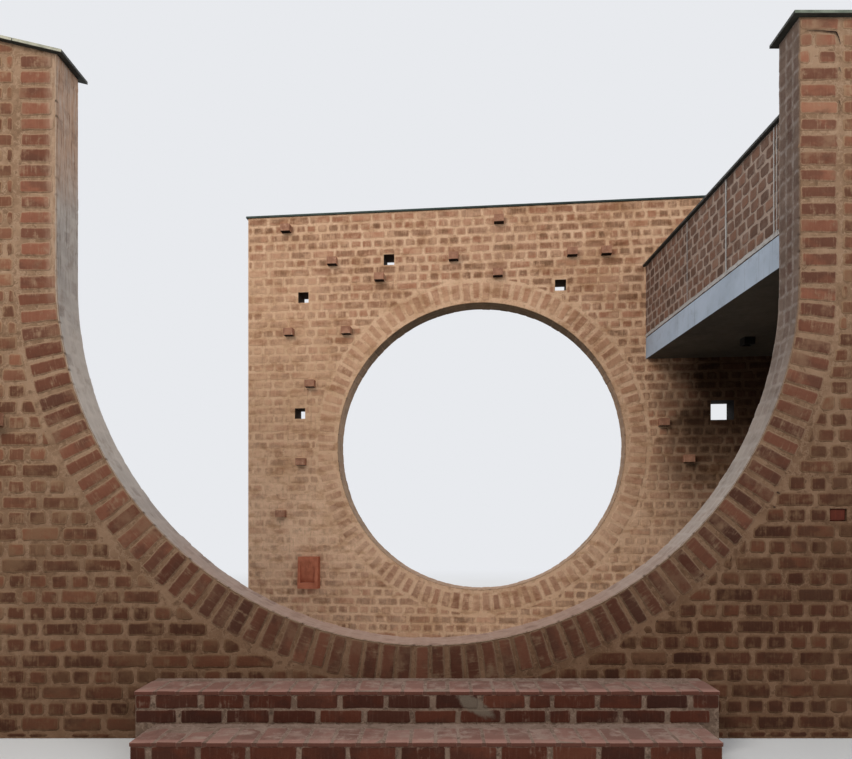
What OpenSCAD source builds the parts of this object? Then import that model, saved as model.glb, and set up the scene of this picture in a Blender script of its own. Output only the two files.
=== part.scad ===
// Brick moon gate: an open-topped ring wall with two steps, and behind it a wall with a full
// round opening. A flat-roofed wing on the right joins the two walls.
// Millimetres. The origin is on the ground under the axis of the front ring, halfway through
// the front wall. +X is to the right, +Y is away from the steps and +Z is up.

/* [Masonry] */
// Thickness of the walls, one brick long
wall_t = 230; // [200:5:260]
// Depth of the ring courses, one brick laid pointing at the centre
ring_depth = 230; // [200:5:260]
// Masonry left between a ring course and the next straight block of wall
web = 65; // [50:5:90]

/* [Front wall] */
// Clear radius of the front ring
ring_r = 2190; // [2000:10:2400]
// Height of the centre of the front ring
ring_z = 2740; // [2720:10:2900]
// Length of the front wall beyond the ring on the left
front_left = 1630; // [800:10:2500]
// Length of the front wall beyond the ring on the right
front_right = 1630; // [1300:10:2500]
// Height of the left jamb at the opening
left_top = 4035; // [3700:5:4300]
// Slope of the top of the left wall, rising away from the opening, in degrees
left_rake = 13.2; // [0:0.2:20]
// Height of the right wall
right_top = 4253; // [4000:5:4500]

/* [Steps] */
// Height of each step
step_rise = 178; // [150:2:190]
// Depth of each step from front to back
step_going = 300; // [270:5:350]
// Width of the upper step
upper_step_w = 3180; // [2600:10:3600]
// Width of the lower step
lower_step_w = 2960; // [2400:10:3600]
// Thickness of the layer of tread bricks
tread_t = 20; // [15:1:40]
// Overhang of the treads past the risers
nosing = 6; // [3:1:12]

/* [Rear wall] */
// Clear radius of the rear ring
rear_ring_r = 1514; // [1250:2:1600]
// Height of the centre of the rear ring
rear_ring_z = 2051; // [2040:1:2200]
// Sideways distance between the axes of the two rings
rear_x = 486; // [200:1:700]
// Clear distance from the back of the front wall to the middle of the rear ring's front face
court_depth = 2865; // [2500:5:3400]
// Turn of the rear wall about the vertical, its right end nearer the steps, in degrees
rear_turn = 5.7; // [0:0.1:8]
// Length of the rear wall beyond the ring on the left
rear_left = 768; // [600:2:1200]
// Height of the masonry of the rear wall
rear_top = 4562; // [4300:2:4800]
// Height of one course of the rear wall
rear_course = 93.4; // [85:0.1:98]

/* [Projecting bricks and holes] */
// Width of a brick end
header_w = 102; // [95:1:120]
// Height of a brick
brick_h = 75; // [65:1:80]
// Distance that the single bricks stick out of the wall
peg_out = 75; // [40:1:100]
// Side of the small square holes
hole_side = 114; // [90:1:120]
// Width of the large hole under the wing
vent_w = 228; // [150:1:240]
// Height of the large hole under the wing
vent_h = 198; // [150:1:220]
// Depth of the shallow pocket in the front wall
pocket_d = 22; // [10:1:60]

/* [Wing] */
// Height of the underside of the roof slab
slab_z = 2932; // [2750:2:3100]
// Thickness of the roof slab
slab_t = 222; // [150:1:260]
// Set-back of the wing's open side from the right jamb
wing_inset = 102; // [0:1:150]
// Angle that the wing's open side leans in towards the back, in degrees
wing_splay = 2; // [0:0.1:4]
// Height of the parapet above the slab
parapet_h = 727; // [500:1:900]
// Height and depth of the groove between slab and parapet
groove = 9; // [6:1:15]
// Height of the lamp under the slab
lamp_h = 65; // [40:1:100]

/* [Coping] */
// Thickness of the coping stones of the front wall
coping_t = 20; // [15:1:50]
// Overhang of the front wall's coping past its faces
coping_over = 35; // [10:1:50]
// Overhang of the front wall's coping into the opening
coping_end = 45; // [20:1:60]
// Thickness of the thin coping of the rear wall and the parapets
thin_coping_t = 18; // [12:1:40]
// Overhang of the rear wall's coping
rear_coping_over = 18; // [8:1:45]
// Overhang of the parapets' coping
parapet_coping_over = 32; // [8:1:45]

/* [Terracotta hood] */
// Width of the hood
hood_w = 222; // [180:2:260]
// Height of the hood
hood_h = 340; // [250:5:380]
// Distance that the hood sticks out at its foot
hood_out = 105; // [90:5:140]
// Distance that the hood sticks out at its top
hood_top_out = 78; // [50:2:140]
// Depth of the scoop in the hood's front, at its foot
hood_scoop_d = 50; // [20:2:56]

/* [Hidden] */
$fn = 96;

// Colours
brick_red = [0.55, 0.33, 0.25];
ring_red = [0.50, 0.28, 0.21];
brick_tan = [0.66, 0.46, 0.35];
slate = [0.22, 0.24, 0.25];
concrete = [0.63, 0.66, 0.70];
clay = [0.66, 0.34, 0.24];
dark_metal = [0.06, 0.06, 0.06];

half_t = wall_t / 2;
cut = 1;

// Front wall
front_ring_parts = 6;
// The half ring starts level with its centre, on the left
front_ring_start = 180;
ring_outer = ring_r + ring_depth;
front_x_min = -ring_outer - front_left;
front_x_max = ring_outer + front_right;
front_base_top = ring_z - ring_outer - web;
front_sweep = 180 / front_ring_parts;
rake_slope = tan(left_rake);

step_count = 2;

// Single brick that sticks out of the front wall: its centre
front_peg = [-2555, 1878];
// Shallow pocket in the front wall: its centre
pocket = [2422, 1317];

// Rear wall, in its own frame: along the wall from the ring's axis, into the wall from its
// front face, and up
rear_y = half_t + court_depth;
rear_outer = rear_ring_r + ring_depth;
rear_square = rear_outer + web;
rear_base_top = rear_ring_z - rear_square;
rear_band_z = rear_ring_z + rear_square;
rear_u_min = -rear_outer - rear_left;
rear_u_max = (front_x_max - rear_x) / cos(rear_turn) + wall_t * tan(rear_turn);
rear_ring_parts = 6;
rear_sweep = 360 / rear_ring_parts;

// Small holes through the rear wall: place along it and height of each centre
holes = [[-956, 4056], [-1894, 3682], [-1932, 2426], [854, 3723]];
// Large hole through the rear wall, under the wing
vent = [2480, 2394];
// Single bricks that stick out of the rear wall: place along it, and course from the top
pegs = [
    [-2077, 1], [215, 1], [-1567, 5], [-260, 5], [971, 5], [1318, 5], [-1054, 7], [204, 7],
    [-2044, 13], [-1413, 13], [-1810, 19], [1892, 24], [-1910, 28], [2141, 28], [-2132, 34]
];
// Terracotta hood: place of its middle along the rear wall, and height of its foot
hood = [-1819, 540];
// Scoop in the hood's front: its edges as shares of the hood's width and of its height
scoop_x = [0.13, 0.84];
scoop_z = [0.18, 0.85];

// Wing
slab_top = slab_z + slab_t;
parapet_top = slab_top + parapet_h;
wing_x = ring_r + wing_inset;
parapet_w = wall_t / cos(wing_splay);
end_wall_x = front_x_max - wall_t;
// Lamp under the slab: its centre, its width and length, and the thickness of its metal
lamp = [2873, 2009];
lamp_size = [95, 95];
lamp_wall = 8;

// Point where a line that starts at the back of the front wall at x, and leans left by the
// given angle, meets the front face of the rear wall
function rear_point(x, lean) =
    let (
        a = tan(lean),
        b = tan(rear_turn),
        end_x = (x - a * court_depth - a * b * rear_x) / (1 - a * b)
    )
    [end_x, rear_y - (end_x - rear_x) * b];

// Height of the raked top of the left wall at x
function rake_z(x) = left_top + (-ring_r - x) * rake_slope;

// Stands a flat outline, drawn as x and height, up as a wall that is centred on the front wall
module upright(thickness) {
    translate([0, thickness / 2, 0])
        rotate([90, 0, 0])
            linear_extrude(thickness)
                children();
}

// Segment of a ring about the origin, in the plane of the wall, from angle start
module ring_segment(r_in, r_out, start, sweep) {
    rotate([90, 0, 0])
        rotate([0, 0, start])
            rotate_extrude(angle = sweep)
                translate([r_in, -half_t])
                    square([r_out - r_in, wall_t]);
}

// Places a shape that is drawn in the rear wall's own frame
module on_rear_wall() {
    translate([rear_x, rear_y, 0])
        rotate([0, 0, -rear_turn])
            children();
}

// Cuts off whatever runs past the end of the wing
module trim_at_end(x_max) {
    reach = 3 * front_x_max;
    intersection() {
        children();
        translate([x_max - reach, -reach / 2, -reach / 2])
            cube([reach, reach, reach]);
    }
}

// Plan of a strip between the front wall and the rear wall
module strip_plan(x_left, x_right, lean) {
    polygon([
        [x_left, half_t],
        [x_right, half_t],
        rear_point(x_right, lean),
        rear_point(x_left, lean)
    ]);
}

// Front wall
module front_base() {
    color(brick_red)
        translate([front_x_min, -half_t, 0])
            cube([front_x_max - front_x_min, wall_t, front_base_top]);
}

module front_spandrel(x_from, x_to) {
    difference() {
        translate([x_from, -half_t, front_base_top])
            cube([x_to - x_from, wall_t, ring_z - front_base_top]);
        translate([0, 0, ring_z])
            rotate([90, 0, 0])
                cylinder(r = ring_outer, h = 2 * wall_t, center = true);
    }
}

module front_spandrel_left() {
    color(brick_red)
        front_spandrel(front_x_min, 0);
}

module front_spandrel_right() {
    color(brick_red)
        difference() {
            front_spandrel(0, front_x_max);
            translate([pocket[0] - header_w / 2, -half_t - cut, pocket[1] - brick_h / 2])
                cube([header_w, pocket_d + cut, brick_h]);
        }
}

module front_wall_left() {
    color(brick_red)
        upright(wall_t)
            polygon([
                [front_x_min, ring_z],
                [-ring_outer, ring_z],
                [-ring_outer, rake_z(-ring_outer)],
                [front_x_min, rake_z(front_x_min)]
            ]);
}

module front_wall_right() {
    color(brick_red)
        translate([ring_outer, -half_t, ring_z])
            cube([front_right, wall_t, right_top - ring_z]);
}

module front_jamb_left() {
    color(ring_red)
        upright(wall_t)
            polygon([
                [-ring_outer, ring_z],
                [-ring_r, ring_z],
                [-ring_r, rake_z(-ring_r)],
                [-ring_outer, rake_z(-ring_outer)]
            ]);
}

module front_jamb_right() {
    color(ring_red)
        translate([ring_r, -half_t, ring_z])
            cube([ring_depth, wall_t, right_top - ring_z]);
}

module front_ring(part) {
    color(ring_red)
        translate([0, 0, ring_z])
            ring_segment(ring_r, ring_outer, front_ring_start + (part - 1) * front_sweep, front_sweep);
}

module front_coping_left() {
    x_end = -ring_r + coping_end;
    x_far = front_x_min - coping_over;
    color(slate)
        upright(wall_t + 2 * coping_over)
            polygon([
                [x_far, rake_z(x_far)],
                [x_end, rake_z(x_end)],
                [x_end, rake_z(x_end) + coping_t],
                [x_far, rake_z(x_far) + coping_t]
            ]);
}

module front_coping_right() {
    x_end = ring_r - coping_end;
    color(slate)
        translate([x_end, -half_t - coping_over, right_top])
            cube([
                front_x_max + coping_over - x_end,
                wall_t + 2 * coping_over,
                coping_t
            ]);
}

module front_projecting_brick() {
    color(brick_red)
        translate([front_peg[0] - header_w / 2, -half_t - peg_out, front_peg[1] - brick_h / 2])
            cube([header_w, peg_out, brick_h]);
}

// Steps: step 1 is the lower one. Its front is this many step depths before the wall
function steps_before(step) = step_count + 1 - step;

module riser(step, width) {
    translate([-width / 2, -half_t - steps_before(step) * step_going, 0])
        cube([width, step_going, step * step_rise - tread_t]);
}

module tread(step, width) {
    translate([
        -width / 2 - nosing,
        -half_t - steps_before(step) * step_going - nosing,
        step * step_rise - tread_t
    ])
        cube([width + 2 * nosing, step_going + nosing, tread_t]);
}

module lower_riser() {
    color(ring_red)
        riser(1, lower_step_w);
}

module lower_tread() {
    color(brick_red)
        tread(1, lower_step_w);
}

module upper_riser() {
    color(ring_red)
        riser(2, upper_step_w);
}

module upper_tread() {
    color(brick_red)
        tread(2, upper_step_w);
}

// Rear wall
module rear_block(u_from, u_to, z_from, z_to) {
    translate([u_from, 0, z_from])
        cube([u_to - u_from, wall_t, z_to - z_from]);
}

module rear_hole(centre, width, height) {
    translate([centre[0] - width / 2, -cut, centre[1] - height / 2])
        cube([width, wall_t + 2 * cut, height]);
}

module rear_holes() {
    for (centre = holes)
        rear_hole(centre, hole_side, hole_side);
}

module rear_base() {
    color(brick_tan)
        trim_at_end(front_x_max)
            on_rear_wall()
                rear_block(rear_u_min, rear_u_max, 0, rear_base_top);
}

module rear_pier_left() {
    color(brick_tan)
        on_rear_wall()
            difference() {
                rear_block(rear_u_min, -rear_square, rear_base_top, rear_band_z);
                rear_holes();
            }
}

module rear_wall_right() {
    color(brick_tan)
        trim_at_end(front_x_max)
            on_rear_wall()
                difference() {
                    rear_block(rear_square, rear_u_max, rear_base_top, rear_band_z);
                    rear_hole(vent, vent_w, vent_h);
                }
}

module rear_top_band() {
    color(brick_tan)
        trim_at_end(front_x_max)
            on_rear_wall()
                difference() {
                    rear_block(rear_u_min, rear_u_max, rear_band_z, rear_top);
                    rear_holes();
                }
}

// Spandrels 1 to 4 are the upper right, upper left, lower left and lower right
module rear_spandrel(part) {
    right = part == 1 || part == 4;
    upper = part <= 2;
    color(brick_tan)
        on_rear_wall()
            difference() {
                rear_block(
                    right ? 0 : -rear_square,
                    right ? rear_square : 0,
                    upper ? rear_ring_z : rear_base_top,
                    upper ? rear_band_z : rear_ring_z
                );
                translate([0, half_t, rear_ring_z])
                    rotate([90, 0, 0])
                        cylinder(r = rear_outer, h = 2 * wall_t, center = true);
                rear_holes();
            }
}

module rear_ring(part) {
    color(ring_red)
        on_rear_wall()
            translate([0, half_t, rear_ring_z])
                ring_segment(rear_ring_r, rear_outer, (part - 1) * rear_sweep, rear_sweep);
}

module rear_coping() {
    color(slate)
        trim_at_end(front_x_max + rear_coping_over)
            on_rear_wall()
                translate([rear_u_min - rear_coping_over, -rear_coping_over, rear_top])
                    cube([
                        rear_u_max + wall_t - rear_u_min,
                        wall_t + 2 * rear_coping_over,
                        thin_coping_t
                    ]);
}

module rear_projecting_bricks() {
    color(brick_tan)
        on_rear_wall()
            for (peg = pegs)
                translate([
                    peg[0] - header_w / 2,
                    -peg_out,
                    rear_top - (peg[1] + 0.5) * rear_course - brick_h / 2
                ])
                    cube([header_w, peg_out, brick_h]);
}

// Side outline of the hood's front: how far it stands out at height z
function hood_front(z) = hood_out - (hood_out - hood_top_out) * z / hood_h;

// Stands a side outline, drawn as distance from the wall and height, across the hood
module hood_prism(x_from, x_to) {
    translate([x_from, 0, 0])
        rotate([90, 0, 90])
            linear_extrude(x_to - x_from)
                children();
}

module terracotta_hood() {
    scoop_foot = scoop_z[0] * hood_h;
    scoop_top = scoop_z[1] * hood_h;
    out = hood_out + hood_top_out;
    color(clay)
        on_rear_wall()
            translate([hood[0] - hood_w / 2, 0, hood[1]])
                difference() {
                    hood_prism(0, hood_w)
                        polygon([[0, 0], [-hood_out, 0], [-hood_top_out, hood_h], [0, hood_h]]);
                    hood_prism(scoop_x[0] * hood_w, scoop_x[1] * hood_w)
                        polygon([
                            [-hood_front(scoop_foot) + hood_scoop_d, scoop_foot],
                            [-out, scoop_foot],
                            [-out, scoop_top],
                            [-hood_front(scoop_top), scoop_top]
                        ]);
                }
}

// Wing
module wing_slab() {
    color(concrete)
        difference() {
            translate([0, 0, slab_z])
                linear_extrude(slab_t)
                    polygon([
                        [wing_x, half_t],
                        [front_x_max, half_t],
                        rear_point(front_x_max, 0),
                        rear_point(wing_x, wing_splay)
                    ]);
            translate([0, 0, slab_top - groove])
                linear_extrude(groove + cut)
                    strip_plan(wing_x - cut, wing_x + groove, wing_splay);
        }
}

// Square box that is open at the bottom
module soffit_lamp() {
    inner = lamp_size - 2 * [lamp_wall, lamp_wall];
    color(dark_metal)
        translate([lamp[0], lamp[1], slab_z - lamp_h])
            difference() {
                translate([-lamp_size[0] / 2, -lamp_size[1] / 2, 0])
                    cube([lamp_size[0], lamp_size[1], lamp_h]);
                translate([-inner[0] / 2, -inner[1] / 2, -cut])
                    cube([inner[0], inner[1], lamp_h / 2 + cut]);
            }
}

module wing_parapet() {
    color(brick_red)
        translate([0, 0, slab_top])
            linear_extrude(parapet_h)
                strip_plan(wing_x, wing_x + parapet_w, wing_splay);
}

module wing_parapet_coping() {
    color(slate)
        translate([0, 0, parapet_top])
            linear_extrude(thin_coping_t)
                strip_plan(
                    wing_x - parapet_coping_over,
                    wing_x + parapet_w + parapet_coping_over,
                    wing_splay
                );
}

module wing_end_wall() {
    color(brick_red)
        linear_extrude(slab_z)
            strip_plan(end_wall_x, front_x_max, 0);
}

module wing_end_parapet() {
    color(brick_red)
        translate([0, 0, slab_top])
            linear_extrude(parapet_h)
                strip_plan(end_wall_x, front_x_max, 0);
}

module wing_end_coping() {
    color(slate)
        translate([0, 0, parapet_top])
            linear_extrude(thin_coping_t)
                strip_plan(
                    end_wall_x - parapet_coping_over,
                    front_x_max + parapet_coping_over,
                    0
                );
}

front_base();
front_spandrel_left();
front_spandrel_right();
front_wall_left();
front_wall_right();
front_jamb_left();
front_jamb_right();
front_ring(1);  // front_ring_1
front_ring(2);  // front_ring_2
front_ring(3);  // front_ring_3
front_ring(4);  // front_ring_4
front_ring(5);  // front_ring_5
front_ring(6);  // front_ring_6
front_coping_left();
front_coping_right();
front_projecting_brick();
lower_riser();
lower_tread();
upper_riser();
upper_tread();
rear_base();
rear_pier_left();
rear_wall_right();
rear_top_band();
rear_spandrel(1);  // rear_spandrel_1
rear_spandrel(2);  // rear_spandrel_2
rear_spandrel(3);  // rear_spandrel_3
rear_spandrel(4);  // rear_spandrel_4
rear_ring(1);  // rear_ring_1
rear_ring(2);  // rear_ring_2
rear_ring(3);  // rear_ring_3
rear_ring(4);  // rear_ring_4
rear_ring(5);  // rear_ring_5
rear_ring(6);  // rear_ring_6
rear_coping();
rear_projecting_bricks();
terracotta_hood();
wing_slab();
soffit_lamp();
wing_parapet();
wing_parapet_coping();
wing_end_wall();
wing_end_parapet();
wing_end_coping();
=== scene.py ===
"""Looks of the brick moon gate: mortar, bricks, coping stones, concrete and clay over the CAD pieces.

Metres, in the frame of the CAD part: +X right, +Y away from the steps, +Z up. Colours are 0 to 255.
"""

import random
from math import atan2, cos, dist, exp, floor, hypot, pi, radians, sin, tan

import bpy
import numpy as np
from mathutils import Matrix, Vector


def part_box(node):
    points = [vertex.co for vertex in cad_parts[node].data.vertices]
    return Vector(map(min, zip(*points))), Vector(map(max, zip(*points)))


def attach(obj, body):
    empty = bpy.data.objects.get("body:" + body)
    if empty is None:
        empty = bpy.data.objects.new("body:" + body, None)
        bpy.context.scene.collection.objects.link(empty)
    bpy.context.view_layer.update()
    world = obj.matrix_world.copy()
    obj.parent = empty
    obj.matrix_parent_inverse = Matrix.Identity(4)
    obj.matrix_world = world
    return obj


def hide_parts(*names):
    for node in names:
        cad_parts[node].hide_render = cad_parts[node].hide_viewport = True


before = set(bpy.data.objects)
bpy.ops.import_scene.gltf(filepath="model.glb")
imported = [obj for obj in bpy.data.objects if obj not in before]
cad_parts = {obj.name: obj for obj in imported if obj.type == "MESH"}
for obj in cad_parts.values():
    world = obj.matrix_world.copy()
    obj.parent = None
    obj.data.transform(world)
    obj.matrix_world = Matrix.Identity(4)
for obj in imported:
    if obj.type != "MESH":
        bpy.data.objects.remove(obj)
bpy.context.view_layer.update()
rng = random.Random(11)

# Front wall, from the CAD nodes
WALL_HALF = 0.115
WALL_T = 2 * WALL_HALF
base_low, base_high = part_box("front_base")
jamb_low, jamb_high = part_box("front_jamb_right")
FRONT_LEFT, FRONT_RIGHT = base_low.x, base_high.x
RING_R, RING_OUTER = jamb_low.x, jamb_high.x
RING_Z, RIGHT_TOP = jamb_low.z, jamb_high.z
RAKE_SLOPE = tan(radians(13.2))
LEFT_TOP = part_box("front_jamb_left")[1].z - (RING_OUTER - RING_R) * RAKE_SLOPE

# Rear wall: its ring's axis, its turn about the vertical, its ring, its ends and its holes
REAR_X, REAR_Y = 0.486, 2.980
REAR_TURN = radians(5.7)
REAR_COS, REAR_SIN = cos(REAR_TURN), sin(REAR_TURN)
REAR_RING_R, REAR_RING_OUTER, REAR_RING_Z = 1.514, 1.744, 2.051
REAR_LEFT, REAR_TOP, REAR_COURSE = -2.512, 4.562, 0.0934
REAR_END_X = REAR_X + REAR_LEFT * REAR_COS + WALL_T * REAR_SIN
REAR_HOLES = [(-0.956, 4.056), (-1.894, 3.682), (-1.932, 2.426), (0.854, 3.723)]
HOLE_SIZE = (0.114, 0.114)
VENT, VENT_SIZE = (2.480, 2.394), (0.228, 0.198)

# Wing
SLAB_LOW, SLAB_HIGH = (corner.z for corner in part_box("wing_slab"))
parapet_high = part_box("wing_parapet")[1]
PARAPET_TOP, PARAPET_COURSES = parapet_high.z, 8
WING_SPLAY = radians(2)
WING_X = parapet_high.x - WALL_T / cos(WING_SPLAY)
END_WALL_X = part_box("wing_end_wall")[0].x

# Bricks
BRICK_H, JOINT = 0.078, 0.024
# Bricks stop this far inside the edges of most faces
MARGIN = 0.006
STRETCHER, HEADER, CLOSER, THREE_QUARTER = 0.222, 0.100, 0.038, 0.160
# Rear wall, then header courses of the parapet: stretcher, header and joint, and a brick's height
REAR_SIZES, REAR_BRICK_H = (0.214, 0.097, 0.021), 0.074
PARAPET_SIZES, PARAPET_BRICK_H = (0.19, 0.100, 0.022), 0.071
# Relief at a brick's outline and just inside it, as shares: nearly flush, or with raked joints
FLUSH, CRISP = (0.05, 0.6), (0.35, 0.9)
# Left and right of the front opening: a bed joint's height and the course height above it and below
LEFT_LINE, LEFT_PITCH, LEFT_PITCH_LOW = 2.749, 0.0919, 0.0936
RIGHT_LINE, RIGHT_PITCH, RIGHT_PITCH_LOW = 2.774, 0.0996, 0.0940
# Beside the front ring: upright joints that each course is laid from, both ways
STRETCHER_JOINTS, HEADER_JOINT = (2.411, 2.288), 2.365
# Pocket in the front wall: centre, width and height
POCKET, POCKET_SIZE = (2.422, 1.317), (0.102, 0.075)
# Courses of the right jamb that are made of two bricks: each brick's reach from the opening
SPLIT_COURSES = {12: ((0.002, 0.062), (0.115, 0.218)), 13: ((0.002, 0.078), (0.094, 0.218))}
# Ring bricks: number, first one's angle below level, spacing and thickness in front
RING_BRICKS, RING_FIRST, RING_PITCH, RING_THICK = 72, radians(1.1), radians(178.5 / 71), 0.080
# Ring bricks behind: number and thickness
REAR_RING_BRICKS, REAR_RING_THICK = 97, 0.070
# Steps: joint, spacing and half brick of the risers, their course height, and the tread bricks
STEP_JOINT, STEP_PITCH, STEP_HALF, STEP_COURSE = 0.027, 0.253, 0.112, 0.079
TREAD_WIDTH, TREAD_JOINT, TREAD_LENGTH = 0.108, 0.016, 0.232
TREAD_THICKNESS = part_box("lower_tread")[1].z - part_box("lower_tread")[0].z
# For each course of a riser, from below: an upright joint, and whether a half brick is at its right
RISERS = {
    "lower": ((0.238, False), (0.364, False)),
    "upper": ((0.656, True), (0.544, True)),
}

# The photograph in pixels: size, focal length and vanishing point. Then the place of its camera
PHOTO_WIDTH, PHOTO_HEIGHT, FOCAL, VANISHING = 852, 759, 666, (438, 517)
EYE = (0.059, -4.045, 1.305)
BACKDROP = (232, 234, 238)


def srgb(*colour):
    """Linear colour of a colour written as 0 to 255 values."""
    shares = [v / 255 for v in colour]
    return tuple(v / 12.92 if v <= 0.04045 else ((v + 0.055) / 1.055) ** 2.4 for v in shares) + (1.0,)


# Materials


class Field:
    """A value worked out at each point of a surface, with plain arithmetic."""

    def __init__(self, shader, socket):
        self.shader, self.socket = shader, socket

    def maths(self, operation, *others):
        return self.shader.node("Math", 0, enumerate((self, *others)), operation=operation)

    def __add__(self, other):
        return self.maths("ADD", other)

    def __sub__(self, other):
        return self.maths("SUBTRACT", other)

    def __mul__(self, other):
        return self.maths("MULTIPLY", other)

    def __abs__(self):
        return self.maths("ABSOLUTE")

    def span(self, *ends):
        """Maps one range smoothly onto another, as a rule onto 0..1."""
        inputs = enumerate((self, *ends))
        return self.shader.node("MapRange", 0, inputs, interpolation_type="SMOOTHSTEP")


class Shader:
    """A node material under construction, with the colour it has so far."""

    def __init__(self, name):
        self.material = bpy.data.materials.new(name)
        self.material.use_nodes = True
        self.tree = self.material.node_tree
        self.surface = self.tree.nodes["Principled BSDF"]
        self.place = self.node("TexCoord", "Object")
        self.x, _, self.z = self.parts(self.place)
        self.face_x, self.face_y, self.face_z = self.parts(self.node("NewGeometry", "True Normal"))
        self.local, self.rim = self.attribute("local", "Vector"), self.attribute("rim")
        self.local_x, self.local_y, _ = self.parts(self.local)

    def node(self, kind, output, inputs=(), **settings):
        """Adds a node and gives one of its outputs."""
        node = self.tree.nodes.new("ShaderNode" + kind)
        for name, value in settings.items():
            setattr(node, name, value)
        for key, value in inputs:
            self.feed(node.inputs[key], value)
        return Field(self, node.outputs[output])

    def feed(self, socket, value):
        """Links a socket to a field, or sets it to a colour (a tuple), a vector (a list) or a number."""
        if isinstance(value, Field):
            self.tree.links.new(value.socket, socket)
        else:
            socket.default_value = srgb(*value) if isinstance(value, tuple) else value

    def attribute(self, name, output="Fac"):
        return self.node("Attribute", output, attribute_name=name)

    def parts(self, vector):
        return [self.node("SeparateXYZ", axis, [(0, vector)]) for axis in "XYZ"]

    def noise(self, scale, detail=3.0, rough=0.55, vector=None, warp=0.0):
        """Noise with one scale, or with a scale for each axis."""
        vector = vector or self.place
        if isinstance(scale, tuple):
            vector = self.node("Mapping", 0, [("Vector", vector), ("Scale", list(scale))])
            scale = 1.0
        names = ("Vector", "Scale", "Detail", "Roughness", "Distortion")
        return self.node("TexNoise", "Fac", zip(names, (vector, scale, detail, rough, warp)))

    def ramp(self, value, stops):
        node = self.tree.nodes.new("ShaderNodeValToRGB")
        self.feed(node.inputs["Fac"], value)
        band = node.color_ramp
        while len(band.elements) < len(stops):
            band.elements.new(1.0)
        for element, (place, colour) in zip(band.elements, stops):
            element.position, element.color = place, srgb(*colour)
        return Field(self, node.outputs["Color"])

    def mix(self, share, a, b, blend="MIX"):
        return self.node("Mix", 2, [(0, share), (6, a), (7, b)], data_type="RGBA", blend_type=blend)

    def cloudy(self, noise, low, high, a, b):
        """Two colours in soft clouds."""
        return self.mix(self.noise(*noise).span(low, high), a, b)

    def cover(self, share, tone, blend="MIX"):
        """Lays a colour over the colour so far."""
        self.colour = self.mix(share, self.colour, tone, blend)

    def spots(self, noise, low, high, most, tone, blend="MIX"):
        """Lays a colour where a noise is strong, up to the share called most."""
        self.cover(self.noise(*noise).span(low, high, 0.0, most), tone, blend)

    def apply(self, effects):
        """Runs the functions below, each given as a tuple with its values."""
        for effect, *values in effects:
            effect(self, *values)

    def bump(self, height, depth, normal=None):
        inputs = [("Height", height), ("Distance", depth)]
        return self.node("Bump", 0, inputs + ([("Normal", normal)] if normal else []))

    def sandy(self, depth):
        """Grain and trowel marks of mortar."""
        broad = self.bump(self.noise(26, 4, 0.6), depth * 2.5)
        return self.bump(self.noise(240, 3, 0.7), depth * 0.5, broad)

    def finish(self, scale, least, most, normal, specular=0.12):
        """Sets the surface. Its roughness is a noise of a scale, between two values."""
        roughness = self.noise(scale).span(0, 1, least, most)
        names = ("Base Color", "Roughness", "Normal", "Specular IOR Level")
        for name, value in zip(names, (self.colour, roughness, normal, specular)):
            self.feed(self.surface.inputs[name], value)
        return self.material


def damp_and_painted_shade(m, dark):
    """Darkens the front wall towards the ground, more at the right, with a ragged edge: partly damp, partly
    painted shade, stronger at the right.
    """
    ragged = m.noise(2.2, 4) * 0.9 + m.z - m.x * 0.22
    m.cover(ragged.span(0.6, 3.9, 1, 0), dark, "MULTIPLY")


def within_rear_wall(m):
    """1 between the two ends of the rear wall, 0 on the end faces."""
    left = m.x.span(REAR_END_X + 0.03, REAR_END_X + 0.04)
    return left * m.x.span(FRONT_RIGHT - 0.03, FRONT_RIGHT - 0.02, 1, 0)


def painted_shade_in_holes(m, dark):
    """Painted shade: dark mortar on the faces inside the square holes of the rear wall."""
    m.cover(abs(m.face_y).span(0.3, 0.8, 1, 0) * within_rear_wall(m), dark)


def painted_shade_under_slab(m):
    """Painted shade: darkens the front face of the rear wall under the slab at the right."""
    ragged, wing_near, wing_in = m.noise(3.0, 4), 2.4, 3.0
    beside = (ragged * 0.5 + m.x).span(wing_near, wing_in)
    under = (ragged * 0.4 + m.z).span(SLAB_LOW - 1.8, SLAB_LOW - 0.3, 0.25, 1)
    below_slab = m.z.span(SLAB_LOW, SLAB_LOW + 0.02, 1, 0)
    share = beside * under * below_slab * m.face_y.span(0.2, 0.6, 1, 0)
    m.cover(share * within_rear_wall(m), (92, 86, 81), "MULTIPLY")


def veiled(m, wash, thin, thick):
    """Old wash over the rear wall: thick low down and at the left, thin at the top and right. Low down it is
    also paler, as painted light where the front wall shades it.
    """
    place = m.noise(2.0, 5, 0.65) * 1.6 + m.x * 0.5 + m.z * 0.8
    share = place.span(2.2, 3.8, thick, thin) * m.noise(5, 5, 0.68).span(0.40, 0.60, 1, 0.5)
    # Paler wash low down: the wash, with painted light
    wash_and_painted_light = m.mix(m.z.span(0.9, 2.6, 0.85, 0), wash, (250, 210, 176))
    m.cover(share * m.z.span(0.4, 1.2, 0.40, 1), wash_and_painted_light)


def smudged(m):
    """Soft patch of grey mortar on the upper riser, leaning down to the right."""
    x, z, lean, reach = 0.258, 0.278, 1.1, 0.076
    height = m.z - z
    beside = height * lean + m.x - x
    far = (beside * beside + height * height).maths("SQRT") + m.noise(30, 4, 0.6) * 0.06
    m.cover(far.span(reach + 0.035, reach, 0, 0.85), (104, 92, 79))


def pale_arris(m):
    """Pale brush marks on the wall's face beside the edge of the left jamb."""
    beside = (m.noise(16, 4, 0.6) * 0.05 + m.x).span(-RING_R - 0.060, -RING_R + 0.012)
    strokes = m.noise((60, 60, 8), 4, 0.65).span(0.36, 0.62, 0.3, 0.85)
    m.cover(beside * strokes * m.x.span(-1, 0, 1, 0) * m.z.span(2.4, 2.9), (168, 141, 118))


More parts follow.
